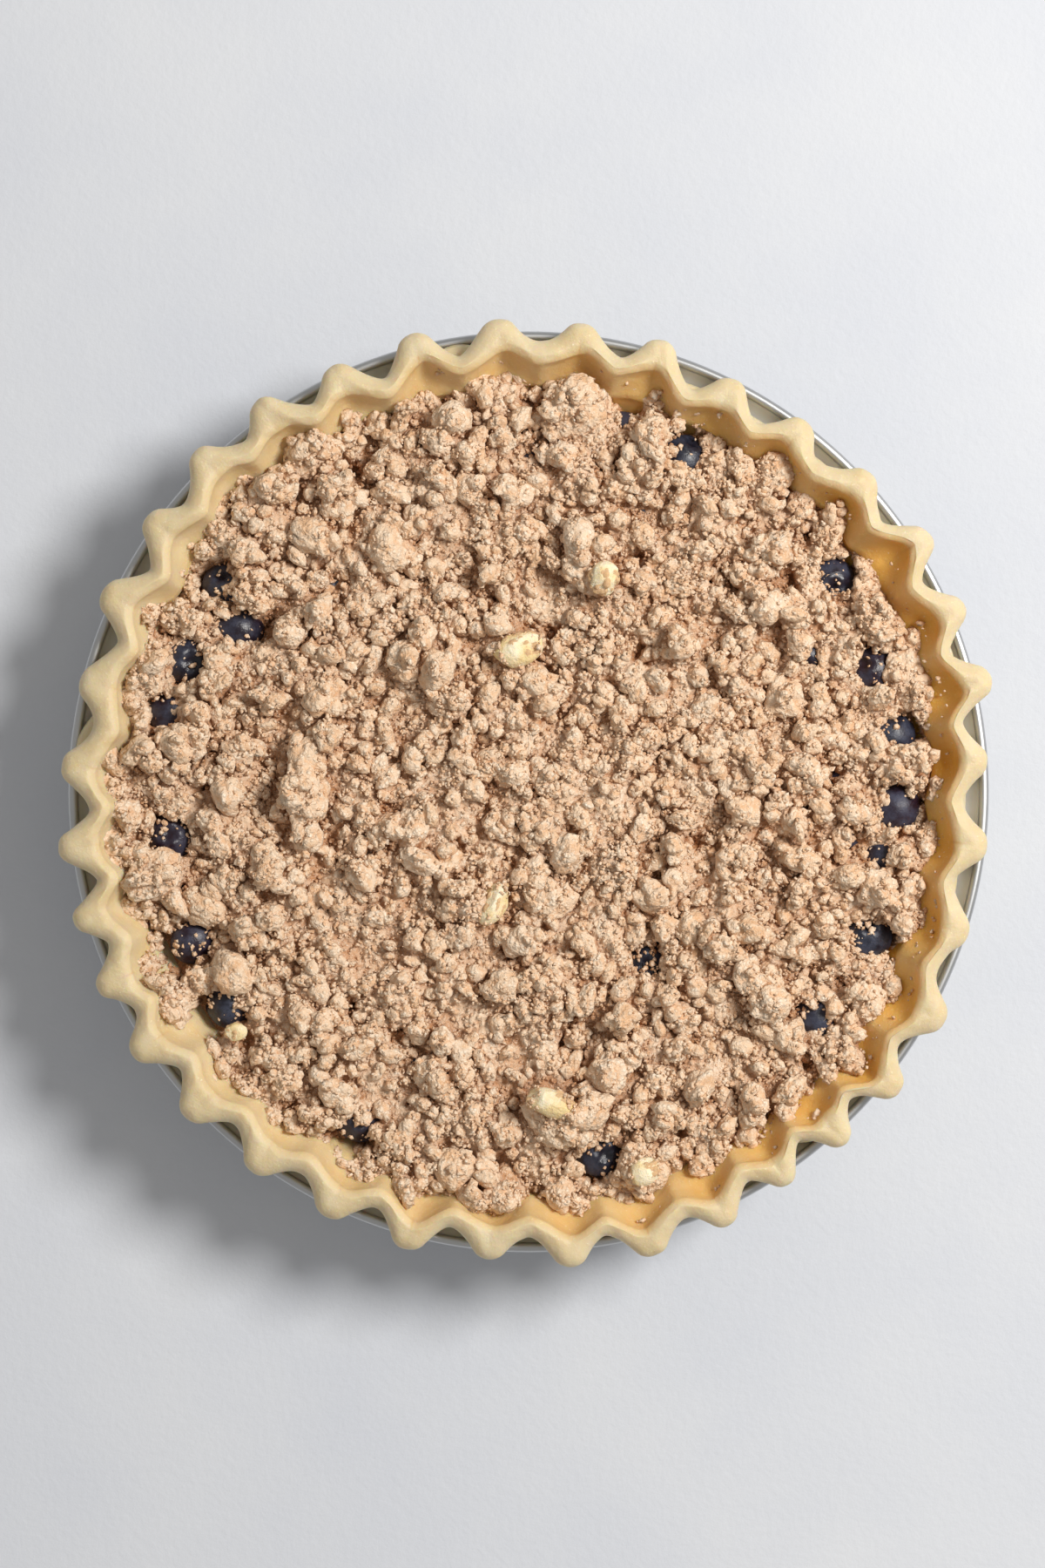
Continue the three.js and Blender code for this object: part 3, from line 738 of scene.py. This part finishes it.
def bed_relief(random):
    """The bed's height map: the dome with slow swells, sunk at the berries and in gaps, most of them near the
    edge. Then come lumps of 4 to 8 mm, crumbs of 1.5 to 5 mm and sand of about 1 mm, all as flattened balls.
    Each size has its spacing, smallest and largest radius, lift over the bed and share of the places used."""
    bed = HeightMap(MAP_CELL)
    x, y = bed.x, bed.y
    bed.top += 1.1 * drift(random, x, y, 34) + 1.0 * drift(random, x, y, 14) - 2.6
    edge = inner_edge(x, y, 1.5)
    bed.top -= 4.5 * np.clip(1 - edge / 6, 0, 1) ** 1.6
    ragged = 1 + 0.22 * drift(random, x, y, 5)
    for well_x, well_y, opening in BERRIES_SHOWING:
        away = np.hypot(x - well_x, y - well_y) / (opening + 1.2) * ragged
        bed.top = np.where(away < 1, np.minimum(bed.top, 31 + 9 * away**6), bed.top)
    gap_x, gap_y = strewn(random, 12)
    near_edge = np.hypot(gap_x, gap_y) / 108 + 0.35 * drift(random, gap_x, gap_y, 40)
    deep = random.uniform(0, 1, len(gap_x)) < np.clip(near_edge - 0.45, 0.06, 0.75)
    for hole_x, hole_y, size in zip(gap_x[deep], gap_y[deep], random.uniform(1.6, 3.4, deep.sum())):
        away = np.hypot(x - hole_x, y - hole_y) / size
        bed.top -= 6.5 * np.exp(-(away**4))
    for spacing, low, high, lift, share in BED_CRUMBS:
        at_x, at_y = strewn(random, spacing)
        kept = (random.uniform(0, 1, len(at_x)) < share) & (inner_edge(at_x, at_y, 1.2) > high * 0.6)
        at_x, at_y = at_x[kept], at_y[kept]
        size = random.uniform(low, high, len(at_x))
        base = bed.at(at_x, at_y) + lift * size + random.uniform(-0.25, 0.25, len(at_x)) * size
        bed.lay_balls(at_x, at_y, base, size, 0.85)
    return bed


def bed_patch(bed, first, last):
    """One strip of the bed from a square grid laid on the disc (squares of the grid become rings and
    wedges), closed by a wall that leans in along the pastry to the underside and by a fan there."""
    line = np.linspace(-1, 1, BED_GRID)
    a, b = np.meshgrid(line[first:last + 1], line, indexing="ij")
    ring = np.maximum(np.abs(a), np.abs(b))
    small, big = np.minimum(np.abs(a), np.abs(b)), np.maximum(ring, 1e-9)
    turn = np.pi / 4 * small / big
    long_way, short_way = ring * np.cos(turn), ring * np.sin(turn)
    wide = np.abs(a) > np.abs(b)
    disc_x = np.where(wide, long_way, short_way) * np.sign(a)
    disc_y = np.where(wide, short_way, long_way) * np.sign(b)
    far = np.hypot(disc_x, disc_y)
    reach = inner_edge(np.where(far > 0, disc_x, 1), disc_y, 1.2) + np.where(far > 0, far, 1)
    x, y = disc_x * reach, disc_y * reach
    z = np.maximum(bed.at(x, y), CRUMBLE_UNDERSIDE + 0.5)
    rows, columns = z.shape
    index = np.arange(rows * columns).reshape(rows, columns)
    loop = np.concatenate([index[:, 0], index[-1, 1:], index[-2::-1, -1], index[0, -2:0:-1]])
    low, after = rows * columns + np.arange(len(loop)), np.roll(loop, -1)
    low_after = np.roll(low, -1)
    p, q, r, s = index[:-1, :-1], index[1:, :-1], index[1:, 1:], index[:-1, 1:]
    top = np.concatenate([np.stack([p, q, r], -1), np.stack([p, r, s], -1)]).reshape(-1, 3)
    wall = np.concatenate([np.stack([loop, low, low_after], -1), np.stack([loop, low_after, after], -1)])
    fan = np.stack([0 * low + low[-1] + 1, low_after, low], -1)
    points = np.stack([x, y, z], -1).reshape(-1, 3)
    foot = points[loop] * (1, 1, 0) + (0, 0, CRUMBLE_UNDERSIDE)
    points = kept_in_case(np.vstack([points, foot, foot.mean(0)]))
    return points, np.concatenate([top, wall, fan])


def crumble_finish():
    """Sandy butter crumb: soft grains of 1 mm and less, each of its own tone from floury white to brown
    sugar, with painted shade between the grains, in the creases and deep in the heap, and pale sugar crystals
    on top."""
    material, shader, place = new_finish("sandy_crumb")
    crease, tone = place.mark("crease"), place.mark("tone")
    swirl = place.noise(1.3, 2.0, 0.5, 1)
    swirl = place.node("ShaderNodeVectorMath", {"operation": "SCALE"}, {0: swirl, "Scale": 0.6})
    bent = place.node("ShaderNodeVectorMath", {"operation": "ADD"}, {0: place, 1: swirl})
    coarse, fine, own = bent.cells(0.85), bent.cells(2.1), bent.cells(0.85, 1).between(0.2, 0.8)
    cloud = place.noise(1.0, 3.0, 0.6).between(0.3, 0.7)
    patches = place.noise(0.13, 3.0, 0.6).between(0.35, 0.65)
    gap = coarse.between(0.2, 0.5)
    base = tone.blend(linear(238, 216, 190), linear(245, 231, 211))
    base = (0.4 * patches).blend(base, linear(242, 223, 198))
    base = (0.3 * own).blend(base, linear(238, 208, 174))
    # Painted shade: browner between the grains, in the creases between crumbs and deep down in the heap.
    base = (0.3 * gap).blend(base, linear(214, 160, 104))
    base = (0.5 * crease).blend(base, linear(214, 156, 98))
    base = (0.7 * place.mark("deep")).blend(base, linear(168, 106, 52))
    crystals = fine.between(0.3, 0.1)
    base = (0.6 * crystals).blend(base, linear(255, 251, 242))
    rounds, sugar = 1 - coarse.between(0.0, 0.6) ** 1.5, 1 - fine.between(0.0, 0.8) ** 2
    grain = 0.7 * rounds + 0.5 * cloud + 0.12 * sugar
    place.feed(shader, {
        "Base Color": base,
        "Roughness": 0.8 - 0.25 * crystals,
        "Specular IOR Level": 0.35,
        "Normal": place.bump(grain, 0.4),
    })
    return material


random = np.random.default_rng(46)
bed = bed_relief(random)
# The bed's crease mark, which the finish paints as shade: how far each place lies below the heap around it,
# near and wide.
hollow = 0.7 * np.clip((bed.blurred(0.9) - bed.top) / 0.9, 0, 1)
hollow += np.clip((bed.blurred(3.5) - bed.top) / 4, 0, 1)
crease_map = HeightMap(MAP_CELL)
crease_map.top = np.clip(hollow, 0, 1)
sandy_crumb = crumble_finish()
heaped = []
for strip in range(BED_STRIPS):
    first, last = (k * (BED_GRID - 1) // BED_STRIPS for k in (strip, strip + 1))
    points, faces = bed_patch(bed, first, last)
    patch = made_mesh(f"crumble_bed_{strip + 1}", points, faces, sandy_crumb, {
        "crease": crease_map.at(points[:, 0], points[:, 1]),
        "tone": np.clip(0.5 + 0.35 * drift(np.random.default_rng(5), points[:, 0], points[:, 1], 9), 0, 1),
    })
    heaped.append((patch, points))
    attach(patch, "root")
    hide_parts("crumble_topping")


# The clumps lie on the bed: knobbly balls of crumbs that cling together, the largest the size of a walnut.
# Each size is laid on what lies there. The rows give a shape's rings, columns, crumb size and crumbs, and
# a large clump's x, y, length, width and turn.
PLACE_CELL = 0.6
LARGE_SHAPE = (30, 52, 0.13, 560)
LARGE_CLUMPS = [
    (-57.9, 90.9, 21, 16.5, 10), (-74, 53.6, 15, 12.5, 20), (-21.4, 24.4, 16, 14, -30),
    (-60.7, -0.7, 14, 19, 15), (-102, 32.5, 12, 16, 20), (-100, 10, 15, 13, 30), (-69, 80, 16, 12, 40),
    (11.6, 103.2, 21, 19, 20), (31.6, 89, 15, 18.5, -20), (15.8, 60.9, 16.5, 18, 35), (80.6, 70, 10, 17, -20),
    (93, 46.7, 13, 12.5, 0), (102, 29.3, 16, 16.5, 40), (-99.7, -23.2, 19.5, 14.5, 25),
    (-15.1, -29.8, 14, 14, 20), (-73.2, -39.8, 11.5, 11, 0), (-6, -107.5, 15, 13.5, 0),
    (43.1, -44.9, 15.5, 15.5, 0), (63.7, -51.8, 13, 14.5, 20), (30.2, -100, 17, 19.5, -20),
    (7.8, -87.9, 18, 20, 30), (108, -14, 12, 14.5, -30), (91, -56, 14, 11, 60), (-73.2, -79.5, 13, 11, -40),
    (-95, 46.7, 12, 11, 0), (-37.4, 45, 11, 11, 0), (66.5, 85, 13, 12, 0), (61.4, 51.8, 12, 11, 0),
    (72.3, 47.7, 11, 11, 0), (103.9, 9.5, 12, 10, 0), (35.7, 57.7, 10, 12, 0), (-98.6, -53, 11, 10, 0),
    (-96, -66.3, 9, 9, 0), (35.3, -77.6, 12, 11, 0),
]
EDGE_SHAPE = (18, 26, 0.18, 220)
EDGE_KINDS = 24
EDGE_COUNT = 100
EDGE_SHARE = 0.92


def ball_rows(rings, columns):
    """Directions of a ball's rings and poles from the underside up, closer together near the top."""
    down = np.pi * (1 - np.arange(rings + 2) / (rings + 1)) ** 1.2
    around = 2 * np.pi * np.arange(columns) / columns
    rows = np.sin(down[1:-1, None])
    z = np.cos(down[1:-1, None]) + 0 * around
    middle = np.stack([rows * np.cos(around), rows * np.sin(around), z], -1).reshape(-1, 3)
    return np.vstack([[0, 0, -1], middle, [0, 0, 1]])


def furthest_exit(ways, centres, sizes):
    """Where rays from the origin leave a group of balls for good: the largest of
    w.c + sqrt(size**2 - c.c + (w.c)**2) over the balls that a ray along w meets."""
    along = ways @ centres.T
    inside = sizes**2 - (centres**2).sum(-1) + along**2
    return np.where(inside > 0, along + np.sqrt(np.maximum(inside, 0)), 0).max(-1)


def unit_ways(random, count):
    """Random directions, alike all round."""
    ways = random.normal(size=(count, 3))
    return ways / np.linalg.norm(ways, axis=1)[:, None]


def knobbly(random, rings, columns, crumb, crumbs):
    """One clump of about unit radius, as how far it reaches along each direction w. Its body is the lesser of
    the furthest exit from a core with five to ten lobes and of depth / w.n for seven planes of normal n that
    break it off. Crumbs of size 1.3 * `crumb` and less stud it. Returns its points and how deep each lies
    between crumbs, from 0 to 1."""
    ways = ball_rows(rings, columns)
    lobes = random.integers(5, 11)
    lobe_centres = unit_ways(random, lobes) * random.uniform(0.35, 0.68, lobes)[:, None]
    lobe_sizes = random.uniform(0.28, 0.52, lobes)
    lobe_centres, lobe_sizes = np.vstack([lobe_centres, [0, 0, 0]]), np.append(lobe_sizes, 0.66)
    breaks, depths = unit_ways(random, 7), random.uniform(0.56, 0.86, 7)
    spots = unit_ways(random, crumbs)
    sizes = crumb * random.uniform(0.35, 1.2, crumbs) ** 1.4
    body, base = (
        np.minimum(furthest_exit(way, lobe_centres, lobe_sizes),
                   (depths / np.maximum(way @ breaks.T, 0.01)).min(-1))
        for way in (ways, spots)
    )
    centres = spots * (base - 0.3 * sizes)[:, None]
    whole = np.maximum(body, furthest_exit(ways, centres, sizes))
    # How deep each point lies between crumbs, which the finish paints as shade.
    crease = 1 - np.clip((whole - body) / (0.5 * crumb), 0, 1)
    rough = random.normal(0, 0.8 / columns, len(ways))
    return ways * (whole + rough)[:, None], crease


def laid_clumps(random, name, kinds, shape, spots, sizes, turns, lift):
    """Many clumps as one piece. Each is one of `kinds` shapes, stretched, turned and set with its middle
    `lift` of its height above the heap under it, as the mean of five places. It then raises the heap."""
    rings, columns, crumb, crumbs = shape
    made = [knobbly(random, rings, columns, crumb, crumbs) for _ in range(kinds)]
    shapes, creases = np.stack([m[0] for m in made]), np.stack([m[1] for m in made])
    kind = np.arange(len(spots)) % kinds
    off = 0.35 * sizes[:, 0]
    ground = np.mean([pile.at(spots[:, 0] + dx * off, spots[:, 1] + dy * off)
                      for dx, dy in ((0, 0), (1, 0), (-1, 0), (0, 1), (0, -1))], 0)
    centres = np.column_stack([spots, ground + lift * sizes[:, 2]])
    points, faces = placed_copies(shapes[kind], turns, sizes, centres, rings, columns)
    points = kept_in_case(points)
    pile.lay_points(points)
    tone = np.repeat(random.uniform(0, 1, len(spots)), shapes.shape[1])
    piece = made_mesh(name, points, faces, sandy_crumb, {"crease": creases[kind].ravel(), "tone": tone})
    heaped.append((piece, points))
    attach(piece, "root")
    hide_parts("crumble_topping")


random = np.random.default_rng(64)
pile = HeightMap(PLACE_CELL)
off_foot = -inner_edge(pile.x, pile.y, 0)
pile.top = np.where(off_foot < 0, bed.at(pile.x, pile.y), CRUMBLE_EDGE_TOP + np.minimum(2.2 * off_foot, 6))
pile.lay_balls(places[:, 0], places[:, 1], places[:, 2], 0.95 * BERRY_RADIUS + 0 * places[:, 0], 0.9)

large = np.array(LARGE_CLUMPS, float)
c, s = np.cos(np.radians(large[:, 4])), np.sin(np.radians(large[:, 4]))
zero, one = np.zeros(len(large)), np.ones(len(large))
turns = np.stack([c, -s, zero, s, c, zero, zero, zero, one], -1).reshape(-1, 3, 3)
sizes = np.column_stack([large[:, 2], large[:, 3], 0.7 * large[:, 2:4].min(1)]) / 2 * 1.04
laid_clumps(random, "large_clumps", len(large), LARGE_SHAPE, large[:, :2], sizes, turns, 0.22)

# The clumps that lean on the pastry all round, one beside the other, but for the berries and large clumps.
way = 2 * np.pi * (np.arange(EDGE_COUNT) + random.uniform(-0.3, 0.3, EDGE_COUNT)) / EDGE_COUNT
size = random.uniform(3.2, 5.6, EDGE_COUNT)
reach = crumble_limit(way) + 1.6 - size + random.uniform(-3, 1.8, EDGE_COUNT)
spots = np.column_stack([reach * np.cos(way), reach * np.sin(way)])
away = np.hypot(spots[:, None, 0] - large[:, 0], spots[:, None, 1] - large[:, 1])
kept = (away > 0.4 * large[:, 2:4].mean(1) + 0.5 * size[:, None]).all(1)
kept &= clear_of(BERRIES_SHOWING, spots[:, 0], spots[:, 1], size - 2.2)
kept &= random.uniform(0, 1, EDGE_COUNT) < EDGE_SHARE
spots, size = spots[kept], size[kept]
sizes = size[:, None] * random.uniform([0.9, 0.8, 0.66], [1.2, 1.05, 0.9], (len(size), 3))
turns = random_turns(random, len(size), 0.5)
laid_clumps(random, "edge_clumps", EDGE_KINDS, EDGE_SHAPE, spots, sizes, turns, 0.3)


# A few lumps of cold butter were not rubbed in. They lie among the large clumps: waxy, pale yellow, with
# crumbs sticking to their sides, their tops left bare by the smaller crumbs. The rows give x, y, length,
# width and turn.
BUTTER_LUMPS = [
    (-2.8, 38.1, 14, 9, 20), (20, 56.7, 8.5, 9, -30), (-9.2, -29.8, 7, 12.5, -30), (6, -82.8, 14, 7.5, -15),
    (-78.4, -64.2, 6, 5, 0), (30.9, -101.4, 9, 7, 30),
]
BUTTER_RINGS, BUTTER_COLUMNS = 28, 40


def butter_finish():
    """Waxy pale butter, almost white on cut faces, with grains of crumb pressed into it towards the edges."""
    material, shader, place = new_finish("cold_butter")
    stuck = (place.noise(0.9, 4.0, 0.65) + 0.42 * place.mark("crease")).between(0.62, 0.74)
    butter = place.noise(0.18, 2.0).between(0.4, 0.6).blend(linear(240, 214, 158), linear(250, 236, 204))
    place.feed(shader, {
        "Base Color": stuck.blend(butter, linear(218, 180, 136)),
        "Roughness": 0.42 + 0.4 * stuck,
        "Subsurface Weight": 0.3,
        "Subsurface Radius": (1.0, 0.75, 0.4),
        "Subsurface Scale": 2 * MM,
        "Normal": place.bump(place.noise(0.9, 4.0, 0.65), 0.7),
    })
    return material


random = np.random.default_rng(11)
parts = []
for x, y, length, width, turn in BUTTER_LUMPS:
    ways = ball_rows(BUTTER_RINGS, BUTTER_COLUMNS)
    cuts = unit_ways(random, 9)
    flat = 1 / np.maximum((ways @ cuts.T) / random.uniform(0.72, 0.95, 9), 0.8).max(-1)
    bumps = furthest_exit(ways, unit_ways(random, 60) * 0.86, random.uniform(0.1, 0.24, 60))
    reach = np.maximum(np.minimum(flat, 1.05), bumps)
    shape = ways * reach[:, None] * (length / 2, width / 2, 0.35 * (length + width) / 2)
    c, s = np.cos(np.radians(turn)), np.sin(np.radians(turn))
    shape = shape @ np.array([[c, s, 0], [-s, c, 0], [0, 0, 1]])
    ground = pile.at(np.array([x]), np.array([y]))[0]
    parts.append((shape + (x, y, max(ground, dome(x, y)) + 1.2), np.clip((reach - flat) / 0.08, 0, 1)))
points = np.vstack([part[0] for part in parts])
first_points = np.arange(len(parts)) * len(parts[0][0])
faces = (ring_faces(BUTTER_RINGS, BUTTER_COLUMNS) + first_points[:, None, None]).reshape(-1, 3)
butter_lumps = made_mesh("butter_lumps", points, faces, butter_finish(),
                         {"crease": np.concatenate([part[1] for part in parts])})
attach(butter_lumps, "root")
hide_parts("crumble_topping")
pile.lay_points(points)


# Smaller clumps and loose crumbs lie all over, each size strewn on what lies there already. The rows hold the
# name, kinds, rings, columns, crumb size as a share, crumbs on each, spacing of the places, share of them
# used, smallest and largest width, and lift over the heap.
CLUMP_SIZES = [
    ("middling_clumps", 30, 14, 20, 0.2, 160, 10.6, 0.64, 6.5, 12.5, 0.4),
    ("small_clumps", 30, 7, 11, 0.32, 50, 5.9, 0.6, 4.0, 7.4, 0.45),
    ("rubble", 20, 5, 7, 0.45, 22, 3.6, 0.5, 2.4, 4.4, 0.45),
    ("crumbs", 12, 3, 5, 0.6, 10, 2.2, 0.42, 1.4, 2.4, 0.3),
    ("grains", 10, 2, 5, 0.6, 6, 1.8, 0.56, 1.0, 1.6, 0.2),
    ("sand", 10, 2, 5, 0.6, 6, 1.8, 0.56, 0.7, 1.2, 0.2),
]
butter_openings = [(x, y, 0.42 * min(length, width)) for x, y, length, width, _ in BUTTER_LUMPS]
random = np.random.default_rng(65)
for name, kinds, rings, columns, crumb, crumbs, spacing, share, small, big, lift in CLUMP_SIZES:
    x, y = strewn(random, spacing)
    size = random.uniform(small, big, len(x)) / 2
    thick = 0.5 + 0.5 * drift(random, x, y, 26)
    kept = random.uniform(0, 1, len(x)) < share * (0.6 + 0.8 * thick)
    edge = inner_edge(x, y, -2.2) - size
    kept &= (edge > 0) & (random.uniform(0, 1, len(x)) < np.clip(0.35 + edge / 9, 0, 1))
    over_berries = random.uniform(0, 1, len(x)) < (0.35 if small < 2 else 0)
    kept &= clear_of(BERRIES_SHOWING, x, y, size - 1.5) | over_berries
    kept &= clear_of(butter_openings, x, y, 0.8 * size)
    spots, size = np.column_stack([x, y])[kept], size[kept]
    stretch = random.uniform([0.9, 0.7, 0.66], [1.35, 1.05, 0.95], (len(size), 3))
    laid_clumps(random, name, kinds, (rings, columns, crumb, crumbs), spots, size[:, None] * stretch,
                random_turns(random, len(size), 0.4), lift)

# Painted shade in the gaps: each point keeps how far it lies below the heap around it, and the finish colours
# it darker there.
pile.top = pile.blurred(2.4)
for piece, points in heaped:
    below = np.clip((pile.at(points[:, 0], points[:, 1]) - 0.1 - points[:, 2]) / 2.6, 0, 1)
    piece.data.attributes.new("deep", "FLOAT", "POINT").data.foreach_set("value", below.astype(np.float32))


# The floor is a plain pale board. The light is one soft lamp high on the right, with a pale sky round it.
FLOOR_REACH = 2500
LAMP_PLACE = (0.78, 0.36, 1.12)
LAMP_SIZE = 0.42
LAMP_WATTS = 19
SKY = (1.0, 0.97, 0.93)
SKY_STRENGTH = 0.37


def pale_board():
    """A matt off-white surface with faint cloudy wear."""
    material, shader, place = new_finish("pale_board")
    cloud = place.noise(0.012, 4.0, 0.6)
    place.feed(shader, {
        "Base Color": cloud.between(0.3, 0.7).blend(linear(207, 211, 219), linear(215, 218, 223)),
        "Roughness": 0.75,
        "Normal": place.bump(place.noise(0.4, 3.0, 0.6), 0.15),
    })
    return material


steps = np.linspace(-FLOOR_REACH, FLOOR_REACH, 3)
floor_x, floor_y = np.meshgrid(steps, steps)
floor_points = np.stack([floor_x.ravel(), floor_y.ravel(), 0 * floor_x.ravel()], -1)
floor_faces = np.array([
    [0, 1, 4], [0, 4, 3], [1, 2, 5], [1, 5, 4], [3, 4, 7], [3, 7, 6], [4, 5, 8], [4, 8, 7],
])
floor = made_mesh("floor", floor_points, floor_faces, pale_board())

lamp = bpy.data.objects.new("lamp", bpy.data.lights.new("lamp", "AREA"))
lamp.data.shape = "DISK"
lamp.data.size = LAMP_SIZE
lamp.data.energy = LAMP_WATTS
lamp.data.color = (1.0, 0.975, 0.94)
lamp.location = LAMP_PLACE
lamp.rotation_euler = (-lamp.location).to_track_quat("-Z", "Y").to_euler()
bpy.context.scene.collection.objects.link(lamp)

world = bpy.data.worlds.new("pale_sky")
world.use_nodes = True
world.node_tree.nodes["Background"].inputs["Color"].default_value = (*SKY, 1)
world.node_tree.nodes["Background"].inputs["Strength"].default_value = SKY_STRENGTH
bpy.context.scene.world = world
bpy.context.scene.view_settings.view_transform = "Standard"
